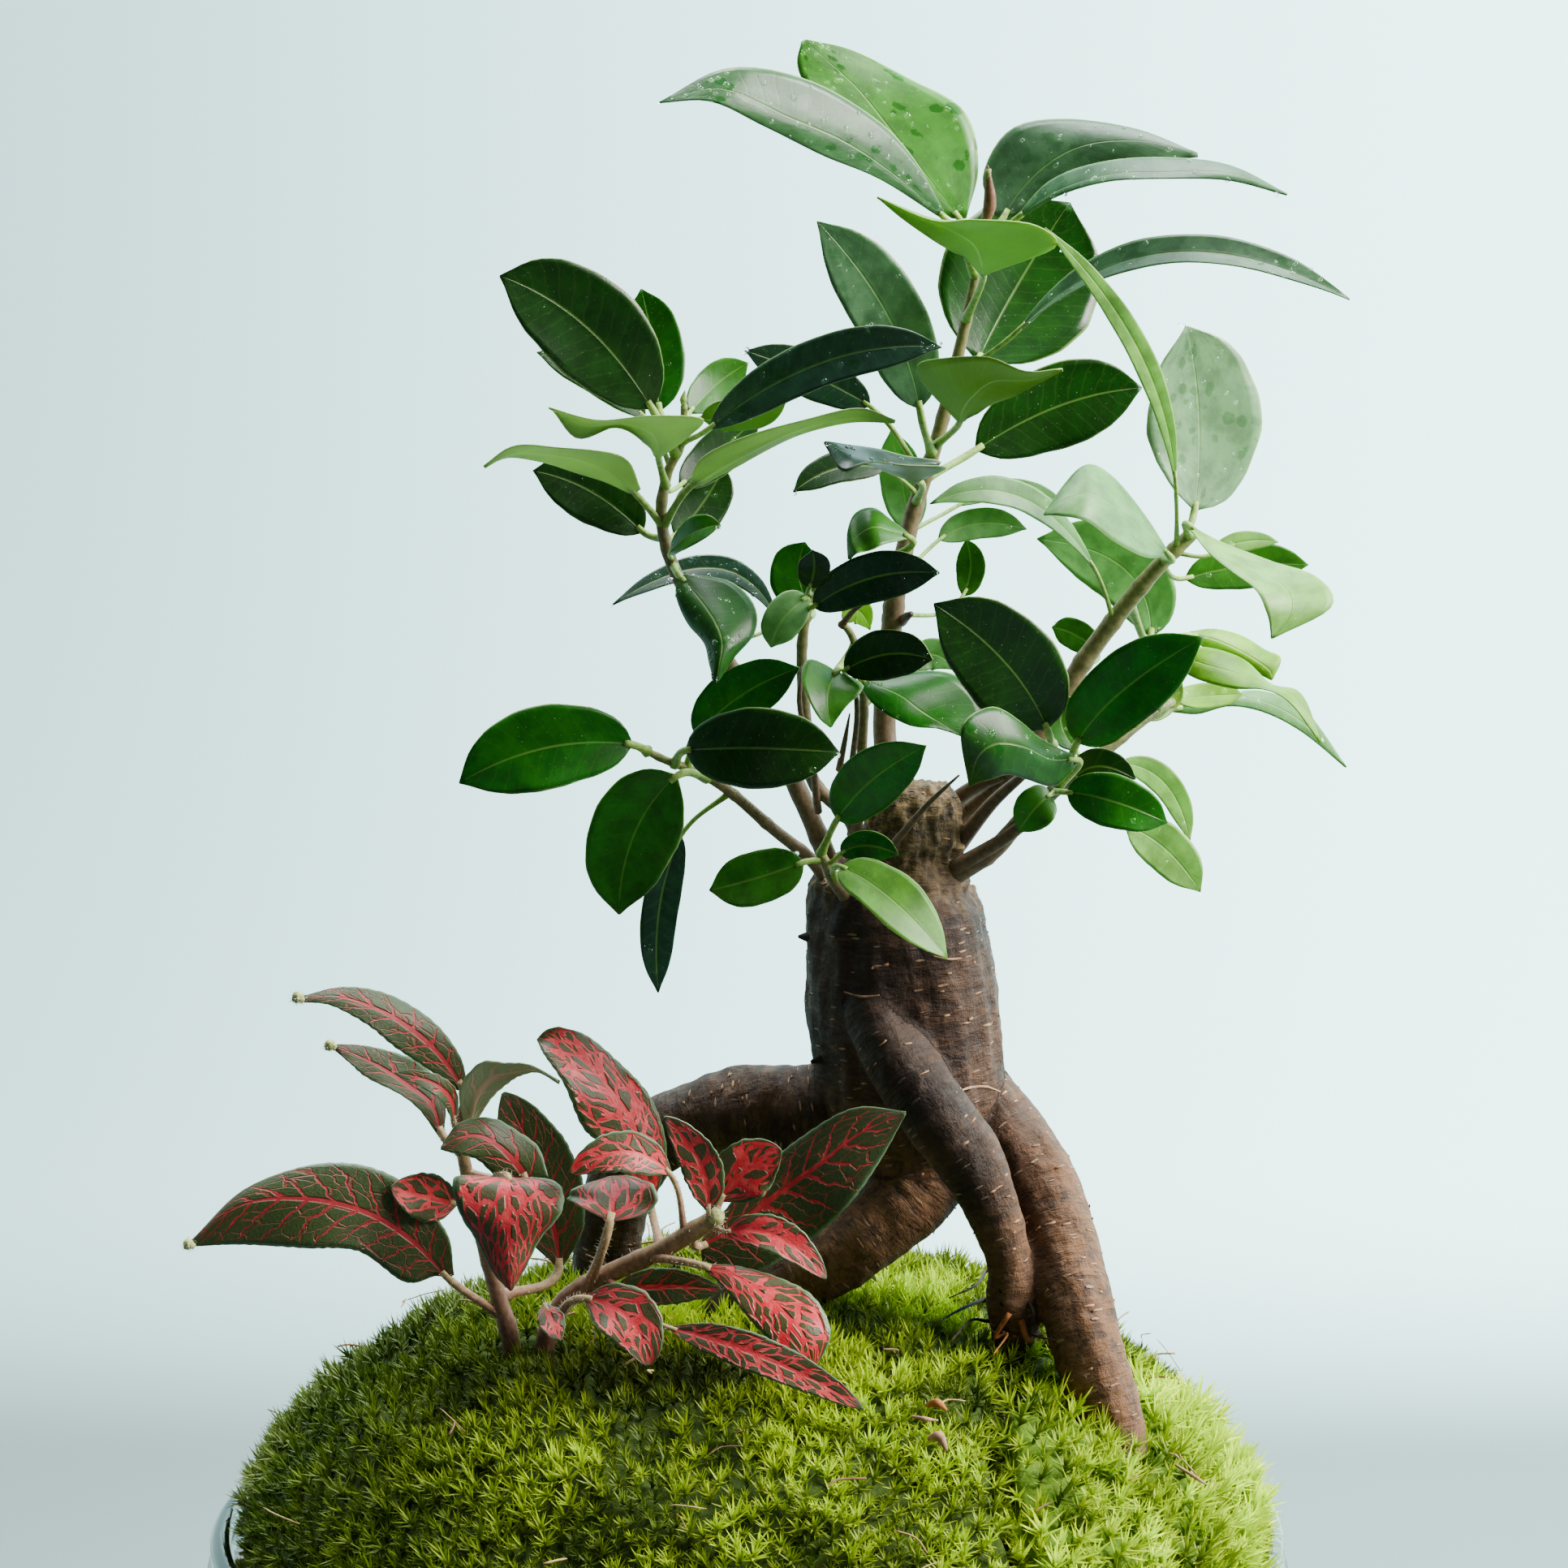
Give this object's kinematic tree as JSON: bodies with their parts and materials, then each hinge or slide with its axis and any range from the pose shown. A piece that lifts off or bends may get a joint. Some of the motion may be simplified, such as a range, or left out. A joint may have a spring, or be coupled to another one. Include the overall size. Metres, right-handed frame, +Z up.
{
  "type": "glass bowl terrarium",
  "caption": "Open round glass bowl planted with a swollen-root fig bonsai and a red net-leaf plant on a plump dome of moss over soil and gravel.",
  "frame": {"origin": "centre of the bowl's flat foot, on the surface that it stands on", "axes": "+Z up along the bowl's axis, +X to the right and +Y away from the viewer in the pictured view"},
  "size_m": [0.2172, 0.213, 0.3806],
  "materials": {
    "clear_glass": "clear, faintly green, polished",
    "gravel": "rounded pebbles, matte",
    "soil": null,
    "moss": null,
    "bark": "dark bark with fine wrinkles and pale pores",
    "fig_leaf": null,
    "net_leaf": null
  },
  "bodies": {
    "root": {"glass_bowl": "clear_glass", "drainage_gravel": "gravel", "soil": "soil", "moss_main": "moss", "moss_right_front": "moss", "moss_left_back": "moss", "fig_trunk": "bark", "fig_crown": "fig_leaf", "fig_left_upper": "fig_leaf", "fig_left_low": "fig_leaf", "fig_front_low": "fig_leaf", "fig_inner": "fig_leaf", "fig_right_upper": "fig_leaf", "fig_right_low": "fig_leaf", "netleaf_left": "net_leaf", "netleaf_right": "net_leaf"}
  },
  "joints": []
}
